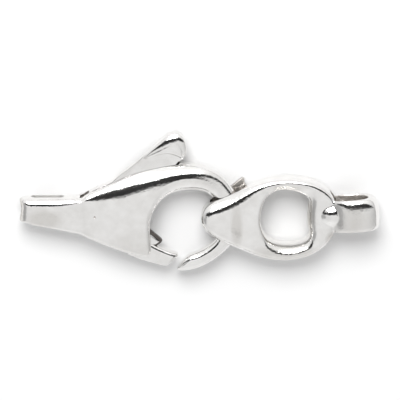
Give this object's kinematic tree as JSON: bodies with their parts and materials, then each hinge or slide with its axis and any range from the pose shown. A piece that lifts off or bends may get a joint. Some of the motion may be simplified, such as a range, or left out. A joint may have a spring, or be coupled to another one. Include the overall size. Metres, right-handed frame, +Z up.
{
  "type": "lobster clasp with its end link",
  "caption": "Cast silver lobster clasp lying flat, its hook closed by a sprung trigger, with a cast end link whose leaf-shaped loop hangs on the hook and ends in a ring and a bail.",
  "frame": {"origin": "middle of the bounding box, on the surface that the clasp lies on", "axes": "+X from the clasp's tail towards the link's bail, +Y towards the thumb pad, +Z up from the face that it lies on"},
  "size_m": [0.04, 0.0158, 0.0042],
  "materials": {
    "polished_silver": "polished cast silver with unpolished recesses",
    "pin_silver": "drawn wire, ends polished flush"
  },
  "bodies": {
    "clasp": {"hook_body": "polished_silver", "pivot_pin": "pin_silver", "end_link": "polished_silver"},
    "trigger": {"trigger": "polished_silver"}
  },
  "joints": [
    {"name": "trigger_pivot", "type": "hinge", "parent": "clasp", "child": "trigger", "pos_m": [-0.01162, -0.00159, 0.0016], "axis": [0, 0, 1], "range_deg": [0, 20], "stiffness_Nm_per_rad": 0.02, "springref_deg": -11.46}
  ]
}
